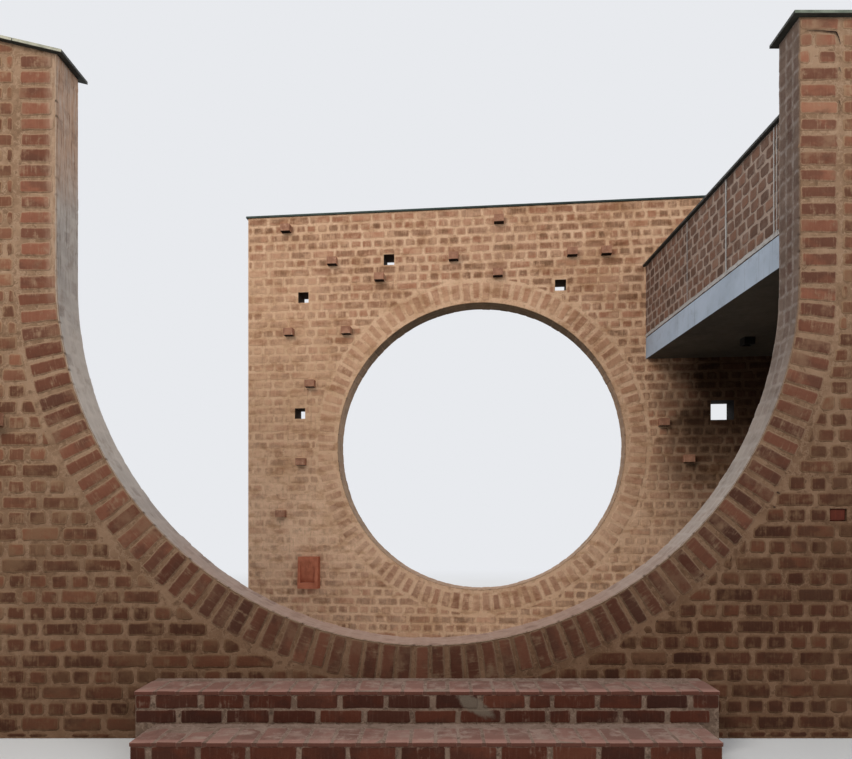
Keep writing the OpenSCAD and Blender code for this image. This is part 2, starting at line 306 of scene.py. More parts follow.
def brushed(m, pale, dark):
    """Upright brush marks and soft stains that run over bricks and mortar alike."""
    marks = m.noise((40, 40, 6), 5, 0.65)
    m.cover(marks.span(0.50, 0.74, 0, 0.50), pale)
    m.cover(marks.span(0.46, 0.26, 0, 0.34), dark)
    m.spots(((5, 5, 11), 5, 0.62), 0.48, 0.66, 0.65, (206, 190, 174), "MULTIPLY")
    m.spots(((1.6, 1.6, 2.2), 5, 0.6), 0.50, 0.72, 0.55, (214, 200, 182), "MULTIPLY")


def mortar_lip_and_painted_edge_shading(m, lip):
    """Mortar left round the edges of a brick, with a painted highlight over the mortar on the upper edge and
    a painted shadow along the lower edge.
    """
    ragged = m.noise((30, 30, 1), 4, 0.65, m.local)
    outline = m.rim.span(0.75, 0.25) * ragged.span(0.36, 0.60, 0.10, 0.7)
    # Upper edge: mortar and a painted highlight
    upper = m.local_y.span(0.024, 0.034) * ragged.span(0.42, 0.62, 0, 0.6)
    m.cover(outline.maths("MAXIMUM", upper), lip)
    # Lower edge: painted shadow
    lower = m.local_y.span(-0.024, -0.035) * ragged.span(0.35, 0.65, 0.5, 0)
    m.cover(lower, (168, 160, 152), "MULTIPLY")


def washed(m, wash, size, strength):
    """Broad smears of another colour."""
    m.spots((size, 6, 0.68), 0.50, 0.68, strength, wash)


def worn(m, pale):
    """Front ends of the tread bricks, seen from above."""
    m.cover((m.noise(20, 4) * 0.03 + m.local_x).span(-0.035, -0.070, 0, 0.7), pale)


def painted_shade_on_fronts(m, front):
    """Painted shade: a darker colour on faces that look towards the steps, for the edge of a tread."""
    m.cover(m.face_y.span(-0.4, -0.8), front)


def mortar_material(name, base, pale, dark, *effects):
    """Thick mortar, nearly flush with the bricks, with grains, smears and small pits."""
    m = Shader(name)
    m.colour = m.cloudy((5, 4), 0.35, 0.7, base, pale)
    m.spots((24, 5, 0.68), 0.48, 0.72, 0.85, dark)
    m.spots((60, 5, 0.75), 0.52, 0.66, 0.6, pale)
    crest = m.mix(1.0, pale, (62, 54, 46), "SCREEN")
    m.cover(abs(m.noise(12, 5, 0.64) - 0.5).span(0.032, 0, 0, 0.7), crest)
    m.spots((75, 3, 0.7), 0.67, 0.74, 1.0, m.mix(0.5, dark, (60, 44, 34)))
    m.apply(effects)
    return m.finish(40, 0.82, 0.97, m.sandy(0.0018))


def brick_material(name, palette, burnt, pale, smear, depth, *effects):
    """Hand-made bricks: a tone for each, scratches, burnt patches, and mortar smeared over them.

    depth is the strength of scratches and patches.
    """
    m = Shader(name)
    tone = m.noise((10, 14, 1), 3, 0.55, m.local) * 0.40 + m.attribute("tone") - 0.20
    m.colour = m.ramp(tone, palette)
    char = m.attribute("flash") * 0.40 + m.noise((7, 11, 1), 3, 0.5, m.local)
    streak, pits = m.noise((85, 8, 1), 4, 0.62, m.local), m.noise(160, 3, 0.7)
    m.cover(char.span(0.60, 0.84, 0, 0.85 * depth), burnt)
    m.cover(streak.span(0.44, 0.24, 0, 0.38 * depth), burnt)
    m.cover(streak.span(0.52, 0.74, 0, 0.34 * depth), pale)
    m.cover(pits.span(0.62, 0.72, 0, 0.5 * depth), burnt)
    wear = m.noise((34, 34, 1), 5, 0.65, m.local) * 1.1 + m.rim - streak * (0.9 * smear)
    thin = streak * 0.35 + m.noise(9, 5, 0.66)
    thin = thin.span(0.80 - 0.14 * smear, 1.0 - 0.14 * smear, 0, 0.9)
    m.cover(wear.span(0.95 - 0.15 * smear, 0.35 - 0.1 * smear).maths("MAXIMUM", thin), pale)
    m.apply(effects)
    grain = m.bump(streak, 0.0012, m.bump(m.noise(34, 4, 0.6), 0.0035))
    return m.finish(50, 0.78, 0.95, m.bump(pits, 0.0010, grain))


def single_brick_material():
    """Single bricks that stick out: worn faces, with painted shade on their undersides."""
    m, pale = Shader("single_bricks"), (210, 171, 144)
    m.colour = m.cloudy((16, 4, 0.6), 0.35, 0.68, (172, 126, 101), (142, 100, 79))
    m.spots((30, 5, 0.7), 0.55, 0.72, 0.75, pale)
    m.cover(m.face_z.span(0.3, 0.8, 0, 0.7), pale)
    # Painted shade on the undersides
    m.cover(m.face_z.span(-0.7, -0.3, 1, 0), (34, 24, 19))
    return m.finish(50, 0.8, 0.95, m.sandy(0.002))


def reveal_material(name, left, right, low, brick, low_top, streak, streak_from, rim, pale_band=None):
    """Mortar wash over the bricks round an opening, with the brick ends showing through.

    left and right are pairs of wash colours for the two sides, the right pair darker as painted shade.
    low is the colour at the bottom, up to low_top. streak is the colour of brush marks above the height
    streak_from. rim is the colour of the smear on the wall's face, left and right; a darker right colour
    is painted shade. Faces that look down get painted shade. pale_band is a stretch of heights where
    the left side is paler.
    """
    m = Shader(name)
    cell = m.attribute("cell", "Vector")
    column, row, shown = m.parts(cell)
    cloud = ((6, 5, 0.6), 0.35, 0.68)
    # The right side takes the darker colours, as painted shade
    painted_shade_at_right = m.x.span(0.2, 1.9) * m.z.span(0.9, 2.9)
    at_left = m.x.span(-0.6, 0.6, 1, 0)
    m.colour = m.mix(painted_shade_at_right, m.cloudy(*cloud, *left), m.cloudy(*cloud, *right))
    down = m.noise(3, 3) * 0.5 + m.z
    m.cover(down.span(low_top, low_top + 1.1, 1, 0), low)
    if pale_band:
        start, end = pale_band
        band = down.span(start, start + 0.4) * down.span(end, end + 0.5, 0.4, 0)
        m.cover(band * at_left, (214, 200, 186))
    marks = m.noise((7, 0.42, 1), 4, 0.6, cell, 0.4)
    brown = down.span(streak_from, streak_from + 0.6) * at_left
    m.cover(brown * marks.span(0.34, 0.60, 0.35, 0.85), streak)

    across = m.noise(22, 3) * 0.30 + column
    course = m.noise(17, 3) * 0.34 + row
    inside = abs(course.maths("FRACT") - 0.5).span(0.28, 0.47, 1, 0)
    inside = inside * abs(across.maths("FRACT") - 0.5).span(0.26, 0.46, 1, 0)
    number = course.maths("FLOOR") * 3.0 + across.maths("FLOOR")
    pick = m.node("TexWhiteNoise", "Value", [("W", number)], noise_dimensions="1D")
    centred = abs(across - 1.5).span(0.3, 1.1, 1, 0.55)
    shows = centred * pick.span(0, 1, 0.35, 1) * shown
    bare = inside * shows.maths("MAXIMUM", pick.span(0.78, 0.95, 0, 0.45) * at_left)
    m.cover(bare * m.noise(34, 5, 0.7).span(0.36, 0.64, 1, 0.40), brick)
    joints = (inside * -1.0 + 1.0) * shown * m.noise(30, 3).span(0.35, 0.7, 0, 0.13)
    m.cover(joints, (244, 240, 236), "SCREEN")

    strong = at_left * m.z.span(2.5, 3.0) * 0.85 + 0.15
    m.cover(strong * marks.span(0.54, 0.68, 0, 0.8), (146, 130, 118), "MULTIPLY")
    m.cover(strong * marks.span(0.45, 0.32, 0, 0.8), (86, 82, 76), "SCREEN")
    m.spots((9, 5, 0.62), 0.50, 0.72, 0.45, (176, 160, 148), "MULTIPLY")
    m.cover(column.span(-0.02, -0.09, 0, 0.8), m.mix(painted_shade_at_right, *rim))
    # Painted shade on faces that look down, such as the top of the rear ring
    m.cover(m.face_z.span(-0.9, -0.3, 0.85, 0), (122, 118, 100), "MULTIPLY")
    m.cover(m.attribute("notch"), (46, 33, 26))
    return m.finish(40, 0.8, 0.95, m.bump(marks, 0.0015, m.sandy(0.0022)))


def slate_material(name, pale, dark):
    """Thin stone slabs, darker at the right as painted shade: two pale colours, and two for undersides and
    ends, which are painted shade.
    """
    m = Shader(name)
    m.colour = m.cloudy((14, 4), 0.35, 0.7, *pale)
    m.cover(m.face_z.span(0.5, 0.8, 0, 0.65), (92, 97, 88))
    # Painted shade towards the right
    m.cover(m.x.span(-1, 1), (176, 190, 188), "MULTIPLY")
    # Painted shade on undersides and ends
    below, end = m.face_z.span(-0.6, -0.2, 1, 0), abs(m.face_x).span(0.6, 0.9)
    m.cover(below.maths("MAXIMUM", end), m.cloudy((18, 4), 0.3, 0.7, *dark))
    m.spots((32, 5, 0.7), 0.60, 0.72, 0.6, (196, 206, 184), "MULTIPLY")
    return m.finish(60, 0.55, 0.8, m.bump(m.noise(45, 5, 0.65), 0.0030), 0.4)


def concrete_material():
    """Smooth blue-grey painted concrete on the edge of the slab, dull, with painted shade on its underside
    and in the groove along its top.
    """
    m = Shader("wing_concrete")
    m.colour = m.cloudy((2.4, 5, 0.6), 0.3, 0.7, (171, 183, 198), (155, 167, 181))
    m.spots(((24, 24, 1.5), 4, 0.6), 0.55, 0.75, 0.5, (120, 124, 132))
    m.spots((9, 6, 0.7), 0.50, 0.70, 0.35, (128, 134, 142))
    # Painted shade on the underside
    soffit = m.cloudy((2.2, 4), 0.3, 0.7, (70, 64, 54), (54, 49, 41))
    m.cover(m.face_z.span(-0.8, -0.4, 1, 0), soffit)
    # Painted shade in the groove along the top of the slab, under the parapet
    m.cover(m.z.span(SLAB_HIGH - 0.0105, SLAB_HIGH - 0.009), (40, 36, 34))
    m.cover(m.face_z.span(0.4, 0.8), m.mix(m.noise(5, 5), (136, 130, 120), (104, 100, 92)))
    grain = m.bump(m.noise(300, 2), 0.0004, m.bump(m.noise(30, 4), 0.0015))
    return m.finish(20, 0.62, 0.82, grain, 0.3)


def clay_material():
    """Terracotta with dust on its upper side."""
    m = Shader("hood_clay")
    m.colour = m.cloudy((12, 4), 0.35, 0.7, (188, 114, 86), (164, 95, 70))
    m.cover(m.face_z.span(0.2, 0.8) * m.noise(40, 4), (205, 150, 120))
    m.spots(((21, 21, 7), 4, 0.6), 0.56, 0.72, 0.4, (118, 58, 42))
    return m.finish(30, 0.6, 0.85, m.bump(m.noise(70, 4), 0.0012))


def lamp_material():
    """Black paint with a little dust."""
    m = Shader("lamp_black")
    m.colour = m.cloudy((30, 4), 0.45, 0.75, (16, 15, 14), (34, 31, 28))
    return m.finish(60, 0.4, 0.6, m.bump(m.noise(200), 0.0002), 0.3)


def crack_material():
    """Inside of a crack."""
    m = Shader("crack_dark")
    m.colour = m.mix(m.noise(40), (38, 26, 20), (60, 42, 32))
    return m.finish(20, 0.85, 1.0, m.bump(m.noise(90), 0.001))


def floor_material():
    """Pale floor that turns into the backdrop's own colour far from the part."""
    m = Shader("floor_pale")
    m.colour = m.cloudy((0.6, 3), 0.3, 0.7, (222, 222, 220), (216, 216, 214))
    m.finish(60, 0.9, 0.9, m.bump(m.noise(60), 0.0005))
    far = m.node("VectorMath", "Value", [(0, m.place)], operation="LENGTH").span(5.5, 13.0)
    seen = far * m.node("LightPath", "Is Camera Ray")
    glow = m.node("Emission", 0, [("Color", BACKDROP)])
    surface = Field(m, m.surface.outputs[0])
    blend = m.node("MixShader", 0, enumerate((seen, surface, glow)))
    m.feed(m.tree.nodes["Material Output"].inputs["Surface"], blend)
    return m.material


# Tones of each kind of brick, from dark to light
FRONT_PALETTE = [
    (0.00, (90, 54, 40)), (0.25, (108, 69, 50)), (0.50, (122, 81, 61)), (0.70, (136, 90, 67)),
    (0.86, (134, 98, 76)), (1.00, (150, 113, 88)),
]
RING_PALETTE = [
    (0.00, (90, 51, 38)), (0.30, (108, 67, 50)), (0.55, (125, 79, 60)), (0.80, (140, 90, 69)),
    (1.00, (150, 106, 82)),
]
STEP_PALETTE = [
    (0.00, (50, 24, 16)), (0.30, (66, 33, 22)), (0.60, (78, 40, 27)), (1.00, (92, 52, 38)),
]
TREAD_PALETTE = [(0.0, (118, 85, 75)), (0.5, (134, 99, 88)), (1.0, (148, 117, 106))]
POCKET_PALETTE = [(0.0, (60, 27, 19)), (0.5, (78, 35, 25)), (1.0, (92, 48, 34))]
REAR_PALETTE = [
    (0.00, (106, 72, 53)), (0.25, (134, 90, 66)), (0.50, (157, 102, 76)), (0.75, (175, 120, 92)),
    (1.00, (190, 144, 114)),
]
REAR_RING_PALETTE = [
    (0.00, (138, 92, 70)), (0.30, (164, 112, 86)), (0.60, (188, 138, 108)), (1.00, (206, 164, 132)),
]
WING_PALETTE = [
    (0.00, (92, 67, 55)), (0.40, (110, 81, 67)), (0.70, (124, 91, 75)), (1.00, (138, 106, 89)),
]

mortar_front = mortar_material(
    "front_mortar", (128, 100, 77), (156, 127, 102), (104, 79, 59), (damp_and_painted_shade, (184, 174, 168)), (pale_arris,)
)
mortar_rear = mortar_material(
    "rear_mortar", (208, 168, 135), (224, 186, 153), (172, 132, 102),
    (veiled, (208, 170, 135), 0.1, 0.7), (brushed, (214, 176, 144), (150, 113, 86)),
    (painted_shade_in_holes, (66, 46, 34)), (painted_shade_under_slab,),
)
mortar_step = mortar_material("step_mortar", (94, 75, 62), (122, 101, 86), (66, 51, 41), (smudged,))
mortar_tread = mortar_material(
    "tread_mortar", (122, 100, 87), (144, 122, 109), (92, 74, 62), (painted_shade_on_fronts, (84, 56, 46))
)
mortar_wing = mortar_material("wing_mortar", (148, 127, 113), (162, 143, 130), (122, 103, 91))
mortar_pale = mortar_material("pale_mortar", (164, 160, 156), (178, 175, 172), (140, 135, 130))
bricks_front = brick_material(
    "front_bricks", FRONT_PALETTE, (84, 56, 41), (150, 120, 93), 0.9, 0.72,
    (mortar_lip_and_painted_edge_shading, (156, 126, 99)), (washed, (136, 106, 80), 3.4, 0.7), (damp_and_painted_shade, (158, 146, 138)),
)
bricks_ring = brick_material(
    "ring_bricks", RING_PALETTE, (82, 54, 42), (150, 121, 96), 0.75, 0.72, (mortar_lip_and_painted_edge_shading, (158, 127, 101)),
    (washed, (136, 104, 81), 4.0, 0.75), (damp_and_painted_shade, (184, 182, 180)), (pale_arris,),
)
bricks_step = brick_material(
    "step_bricks", STEP_PALETTE, (44, 27, 21), (112, 89, 75), 0.35, 0.6, (smudged,)
)
bricks_pocket = brick_material("pocket_bricks", POCKET_PALETTE, (58, 16, 10), (130, 60, 42), 0.1, 1.0)
bricks_tread = brick_material(
    "tread_bricks", TREAD_PALETTE, (100, 74, 65), (154, 131, 118), 1.0, 0.55,
    (washed, (156, 134, 121), 7.0, 0.6), (worn, (160, 119, 107)), (painted_shade_on_fronts, (84, 50, 40)),
)
bricks_rear = brick_material(
    "rear_bricks", REAR_PALETTE, (110, 80, 58), (196, 155, 124), 1.15, 0.9,
    (washed, (194, 152, 124), 1.5, 0.6), (veiled, (208, 168, 135), 0.25, 0.92),
    (brushed, (208, 168, 136), (128, 92, 68)), (painted_shade_under_slab,),
)
bricks_rear_ring = brick_material(
    "rear_ring_bricks", REAR_RING_PALETTE, (146, 106, 82), (206, 166, 136), 1.1, 0.6,
    (washed, (198, 155, 126), 1.8, 0.6), (veiled, (206, 165, 131), 0.42, 0.64),
    (brushed, (208, 168, 137), (156, 114, 88)), (painted_shade_under_slab,),
)
bricks_wing = brick_material(
    "wing_bricks", WING_PALETTE, (80, 62, 53), (134, 116, 105), 0.7, 0.7,
    (washed, (118, 98, 87), 5.0, 0.5),
)
bricks_single = single_brick_material()
wash_front = reveal_material(
    "front_wash", ((182, 172, 163), (166, 157, 149)), ((116, 99, 88), (100, 84, 74)),
    (156, 127, 111), (84, 59, 51), 0.8, (184, 145, 116), 3.3, ((160, 138, 118), (128, 103, 83)),
    (1.6, 2.5),
)
wash_rear = reveal_material(
    "rear_wash", ((174, 144, 118), (150, 126, 104)), ((160, 130, 104), (138, 112, 90)),
    (184, 150, 124), (128, 90, 68), 0.4, (150, 118, 95), 5.0, ((196, 156, 124), (196, 156, 124)),
)
slate = slate_material("coping_slate", ((176, 172, 152), (134, 134, 116)), ((30, 31, 28), (46, 48, 43)))
slate_thin = slate_material("thin_coping_slate", ((58, 74, 67), (41, 55, 49)), ((26, 28, 26), (36, 38, 35)))


# Outlines of bricks, anticlockwise lists of (along, up)


def sides(poly):
    return zip(poly, poly[1:] + poly[:1])


def area_of(poly):
    return sum(a * d - b * c for (a, b), (c, d) in sides(poly)) / 2


def clip(poly, *cuts):
    """Keeps the part of a convex outline where nx * s + ny * t >= least, for each cut in turn."""
    for nx, ny, least in cuts:
        kept = []
        for (a, b), (c, d) in sides(poly):
            here, there = nx * a + ny * b - least, nx * c + ny * d - least
            if here >= 0:
                kept.append((a, b))
            if (here >= 0) != (there >= 0):
                f = here / (here - there)
                kept.append((a + (c - a) * f, b + (d - b) * f))
        poly = kept
    return poly


def outside_circle(poly, centre, radius):
    """Cuts a convex outline off along the circle, which is nearly straight over one brick."""
    for _ in range(2):
        if len(poly) < 3:
            return poly
        least = min(
            hypot(a + (c - a) * f - centre[0], b + (d - b) * f - centre[1])
            for (a, b), (c, d) in sides(poly)
            for f in (0, 0.25, 0.5, 0.75)
        )
        if least >= radius:
            return poly
        nx, ny = (sum(p[k] for p in poly) / len(poly) - centre[k] for k in (0, 1))
        reach, half_brick = hypot(nx, ny), 0.13
        if reach < radius - half_brick:
            return []
        nx, ny = nx / reach, ny / reach
        poly = clip(poly, (nx, ny, nx * centre[0] + ny * centre[1] + radius))
    return poly


def around_hole(polys, centre, size):
    """Cuts the outlines off round a hole of the given width and height."""
    left, right = centre[0] - size[0] / 2, centre[0] + size[0] / 2
    bottom, top = centre[1] - size[1] / 2, centre[1] + size[1] / 2
    result = []
    for poly in polys:
        s, t = zip(*poly)
        if max(s) < left or min(s) > right or max(t) < bottom or min(t) > top:
            result.append(poly)
            continue
        middle = clip(poly, (1, 0, left), (-1, 0, -right))
        result += [clip(poly, (-1, 0, -left)), clip(poly, (1, 0, right))]
        result += [clip(middle, (0, -1, -bottom)), clip(middle, (0, 1, top))]
    return [p for p in result if len(p) >= 3]


def blunt(poly, width=0.030):
    """Cuts off sharp tips, where the mortar takes over."""
    for here in list(poly):
        if here not in poly or len(poly) < 3:
            continue
        i = poly.index(here)
        neighbours = (poly[i - 1], poly[(i + 1) % len(poly)])
        a, b = (atan2(p[1] - here[1], p[0] - here[0]) for p in neighbours)
        angle = abs((a - b + pi) % (2 * pi) - pi)
        if 1e-4 <= angle <= radians(62):
            nx, ny = cos(a) + cos(b), sin(a) + sin(b)
            size = hypot(nx, ny)
            nx, ny = nx / size, ny / size
            reach = width / 2 / tan(angle / 2)
            poly = clip(poly, (nx, ny, nx * here[0] + ny * here[1] + reach))
    return poly


def big_enough(poly, least_area=0.0016, least_width=0.020):
    """Leaves out slivers, which the mortar fills."""
    if len(poly) < 3 or abs(area_of(poly)) < least_area:
        return False
    return abs(area_of(poly)) / max(dist(a, b) for a in poly for b in poly) > least_width


def shrink(poly, distance):
    """The part of a convex outline that is at least a distance inside it."""
    cuts = []
    for (a, b), (c, d) in sides(poly):
        size = hypot(c - a, d - b)
        if size >= 1e-6:
            nx, ny = -(d - b) / size, (c - a) / size
            cuts.append((nx, ny, nx * a + ny * b + distance))
    return clip(poly, *cuts)


def nearest(points, poly):
    """For each point, the nearest point on an outline."""
    a = np.array(poly)
    step = np.roll(a, -1, 0) - a
    size = np.maximum((step**2).sum(1), 1e-12)
    f = np.clip(((points[:, None, :] - a) * step).sum(2) / size, 0, 1)
    on = a + f[..., None] * step
    far = ((points[:, None, :] - on) ** 2).sum(2)
    return on[np.arange(len(points)), far.argmin(1)]


def soften(poly, corner, rough):
    """Outline with two points at each corner and more along its long edges, all slightly off."""
    corners = np.array(poly)
    points = []
    for before, here, after in zip(np.roll(corners, 1, 0), corners, np.roll(corners, -1, 0)):
        to_here, to_next = dist(before, here), dist(here, after)
        if min(to_here, to_next) < 1e-6:
            continue
        points.append(here + (before - here) * (min(corner, 0.35 * to_here) / to_here))
        extra = int(to_next / 0.075)
        shares = [min(corner, 0.35 * to_next) / to_next]
        shares += [(j + 1) / (extra + 1) for j in range(extra)]
        points += [here + (after - here) * share for share in shares]
    return np.array(points) + [[rng.gauss(0, rough), rng.gauss(0, rough)] for _ in points]


def rectangle(left, right, low, high):
    return [(left, low), (right, low), (right, high), (left, high)]


def brick_outline(left, right, middle, half, turn):
    """A brick whose second end is a little higher than its first."""
    low, high = middle - half, middle + half
    return [(left, low - turn), (right, low + turn), (right, high + turn), (left, high - turn)]


def edges(left, right, low, high):
    """Cuts along the sides of a rectangle."""
    return (0, 1, low), (0, -1, -high), (1, 0, left), (-1, 0, -right)


def voussoir(height, angle, r_in, r_out, thick_in, thick_out):
    """Outline of a ring brick, for a ring whose centre is at a height."""
    c, s = cos(angle), sin(angle)
    corners = ((r_in, -thick_in), (r_out, -thick_out), (r_out, thick_out), (r_in, thick_in))
    return [(r * c - t / 2 * s, height + r * s + t / 2 * c) for r, t in corners]


# Bricks as relief on a plane


class Plane:
    """A flat face: an origin, a direction along it, its outward normal, and a direction up it."""

    def __init__(self, origin, along, normal, up=(0, 0, 1)):
        self.origin, self.along, self.normal, self.up = (
            np.array(v, float) for v in (origin, along, normal, up)
        )
        self.flipped = np.dot(np.cross(self.along, self.up), self.normal) < 0

    def points(self, flat, heights):
        """Points given along and up the face, and out from it."""
        on = self.origin + np.outer(flat[:, 0], self.along) + np.outer(flat[:, 1], self.up)
        return on + np.outer(heights, self.normal)

    def outward(self, face):
        return face[::-1] if self.flipped else face


def tone_near(average, spread):
    """A random tone from dark (0) to light (1)."""
    return min(1.0, max(0.0, rng.gauss(average, spread)))


class Masonry:
    """Collects bricks and makes one mesh of them."""

    def __init__(self, name, material, slot, soft=0.010, proud=0.0052, edge=0.0, shoulder=FLUSH):
        """soft is the width of the worn edges, proud the relief, edge the least value of rim."""
        self.name, self.material, self.slot, self.shoulder = name, material, slot, shoulder
        self.soft, self.proud, self.edge = soft, proud, edge
        self.verts, self.faces, self.count = [], [], 0
        self.values = {"tone": [], "flash": [], "rim": [], "local": []}

    def add(self, plane, poly, corner=0.007, rough=0.0018, depth=0.004, tone=None, turn=0.0, darker=0.0):
        """Adds one brick with the given outline. turn is the direction of its length."""
        if area_of(poly) < 0:
            poly = poly[::-1]
        edge = soften(poly, corner, rough)
        n = len(edge)
        if n < 5:
            return
        middle = edge.mean(0)
        rim, core = self.soft, []
        while len(core) < 3:
            core = shrink(poly, rim)
            rim *= 0.7
        core = nearest(edge, core) * 0.88 + edge * 0.12
        tilt = np.array([rng.gauss(0, 0.006), rng.gauss(0, 0.010)])
        top = self.proud * rng.uniform(0.6, 1.25)
        rings = (
            (edge, -depth, 0.0, 0),
            (edge, self.shoulder[0] * top, 0.0, 0),
            (edge + (core - edge) * 0.36, self.shoulder[1] * top, 0.36, 1),
            (core, top, 1.0, 1),
        )
        if tone is None:
            tone = tone_near(0.5 - darker, 0.18)
        self.values["tone"] += [tone] * (4 * n)
        self.values["flash"] += [rng.random()] * (4 * n)
        c, s, own = cos(turn), sin(turn), rng.uniform(0, 60)
        for k, (flat, height, value, tilted) in enumerate(rings):
            off = flat - middle
            self.verts.append(plane.points(flat, height + off @ tilt * tilted))
            self.values["local"] += np.stack([off @ (c, s), off @ (-s, c), np.full(n, own)], 1).tolist()
            self.values["rim"] += [max(value, self.edge)] * n
            low, high = self.count + k * n, self.count + (k + 1) * n
            for i in range(n if k < 3 else 0):
                j = (i + 1) % n
                self.faces.append(plane.outward((low + i, low + j, high + j, high + i)))
        self.faces.append(plane.outward(tuple(range(self.count + 3 * n, self.count + 4 * n))))
        self.count += 4 * n

    def build(self):
        verts = np.concatenate(self.verts)
        verts[:, 2] = np.maximum(verts[:, 2], 0.001)
        return mesh_piece(self.name, verts, self.faces, self.material, self.slot, self.values)


def add_object(name, data):
    item = bpy.data.objects.new(name, data)
    bpy.context.scene.collection.objects.link(item)
    return item


def mesh_piece(name, verts, faces, material, slot, values=None, smooth=True):
    """Makes a mesh object that goes with the part."""
    mesh = bpy.data.meshes.new(name)
    mesh.from_pydata([tuple(v) for v in verts], [], faces)
    for key, numbers in (values or {}).items():
        numbers = np.array(numbers, np.float32)
        kind, field = ("FLOAT_VECTOR", "vector") if numbers.ndim == 2 else ("FLOAT", "value")
        mesh.attributes.new(key, kind, "POINT").data.foreach_set(field, numbers.ravel())
    mesh.materials.append(material)
    if smooth:
        mesh.shade_smooth()
    piece = add_object(name, mesh)
    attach(piece, "root")
    return piece


def spans(kind, start, end, sizes, closer):
    """Brick lengths along one course, laid from start towards end.

    closer is the length of the first brick of a header course, or 0 for an ordinary one.
    """
    stretcher, header, joint = sizes
    sign = 1 if end > start else -1
    s = start
    first = closer and kind == "header"
    while sign * (end - s) > 0:
        if first:
            length = closer
        elif kind == "header" or rng.random() < 0.07:
            length = header * rng.gauss(1, 0.05)
        else:
            length = stretcher * rng.gauss(1, 0.03)
        first = False
        yield sorted((s, s + sign * length))
        s += sign * (length + joint * rng.uniform(0.75, 1.3))


def rows_between(low, high, line, pitch, first):
    """Courses that cover low..high, with a bed joint at the height line: (bottom, top, kind)."""
    n = floor((low - line) / pitch)
    while line + n * pitch < high:
        yield line + n * pitch, line + (n + 1) * pitch, "header" if (n + first) % 2 else "stretcher"
        n += 1


def lay(bricks, plane, rows, start, end, cuts, circle=None, holes=(),
        sizes=(STRETCHER, HEADER, JOINT), closer=CLOSER, brick_h=BRICK_H):
    """Lays English bond between start and end, cut off by the given lines, circle and holes."""
    for low, high, kind in rows:
        middle = (low + high) / 2 + rng.gauss(0, 0.0012)
        for left, right in spans(kind, start, end, sizes, closer):
            half = brick_h / 2 * rng.gauss(1, 0.025)
            shift = rng.gauss(0, 0.0012)
            turn = rng.gauss(0, 0.004) * (right - left)
            poly = clip(brick_outline(left, right, middle + shift, half, turn), *cuts)
            if circle:
                poly = outside_circle(poly, *circle)
            polys = [poly] if len(poly) >= 3 else []
            for hole in holes:
                polys = around_hole(polys, *hole)
            for one in map(blunt, polys):
                if big_enough(one):
                    bricks.add(plane, one, 0.013, 0.0026)


# Front wall


def front_plane(back):
    """The side of the steps, or the other one when back, the end of a piece's name, is "_back"."""
    way = 1 if back else -1
    return Plane((0, way * WALL_HALF, 0), (1, 0, 0), (0, way, 0))


def rake_cut(gap):
    """Line under the raked top of the left wall."""
    size = hypot(RAKE_SLOPE, 1)
    return (-RAKE_SLOPE / size, -1 / size, -(LEFT_TOP - RING_R * RAKE_SLOPE - gap) / size)


# Line under the level top of the right wall
LEVEL_CUT = (0, -1, -(RIGHT_TOP - MARGIN))


def front_face(back):
    """Bricks of the front wall's face outside the ring and the jambs."""
    bricks = Masonry("front_wall_bricks" + back, bricks_front, "front_brick", 0.020)
    plane = front_plane(back)
    edge = RING_OUTER + 0.028
    circle = ((0, RING_Z), RING_OUTER + 0.026)
    ground = (0, 1, MARGIN)
    pocket = [] if back else [(POCKET, POCKET_SIZE)]
    # Courses of the left wall go on to this height, and its raked top cuts them off
    above = 5.2
    for sign, line, pitch_up, pitch_down, far, highest, top, closer in (
        (-1, LEFT_LINE, LEFT_PITCH, LEFT_PITCH_LOW, FRONT_LEFT, above, rake_cut(0.012), CLOSER),
        (1, RIGHT_LINE, RIGHT_PITCH, RIGHT_PITCH_LOW, FRONT_RIGHT, RIGHT_TOP, LEVEL_CUT, THREE_QUARTER),
    ):
        limit = (-sign, 0, -abs(far) + 0.004)
        upper = rows_between(line, highest, line, pitch_up, 0)
        lay(bricks, plane, upper, sign * edge, far, [ground, top, limit], closer=closer)
        lower = rows_between(0, line - 0.001, line, pitch_down, 1)
        for i, row in enumerate(reversed(list(lower))):
            joint = HEADER_JOINT if row[2] == "header" else STRETCHER_JOINTS[i // 2 % 2]
            for way, end in ((sign, far), (-sign, 0.0)):
                start = sign * joint + way * JOINT / 2
                lay(bricks, plane, [row], start, end, [ground, limit], circle, pocket, closer=0)
    bricks.build()


def pocket_brick():
    """Clean red brick at the back of the pocket in the front wall."""
    bricks = Masonry("pocket_brick", bricks_pocket, "front_brick", 0.008, 0.010, shoulder=CRISP)
    depth = 0.018
    plane = Plane((0, depth - WALL_HALF, 0), (1, 0, 0), (0, -1, 0))
    x, z, w, h = *POCKET, POCKET_SIZE[0] / 2 - 0.004, POCKET_SIZE[1] / 2 - 0.003
    bricks.add(plane, rectangle(x - w, x + w, z - h, z + h), tone=0.6)
    bricks.build()


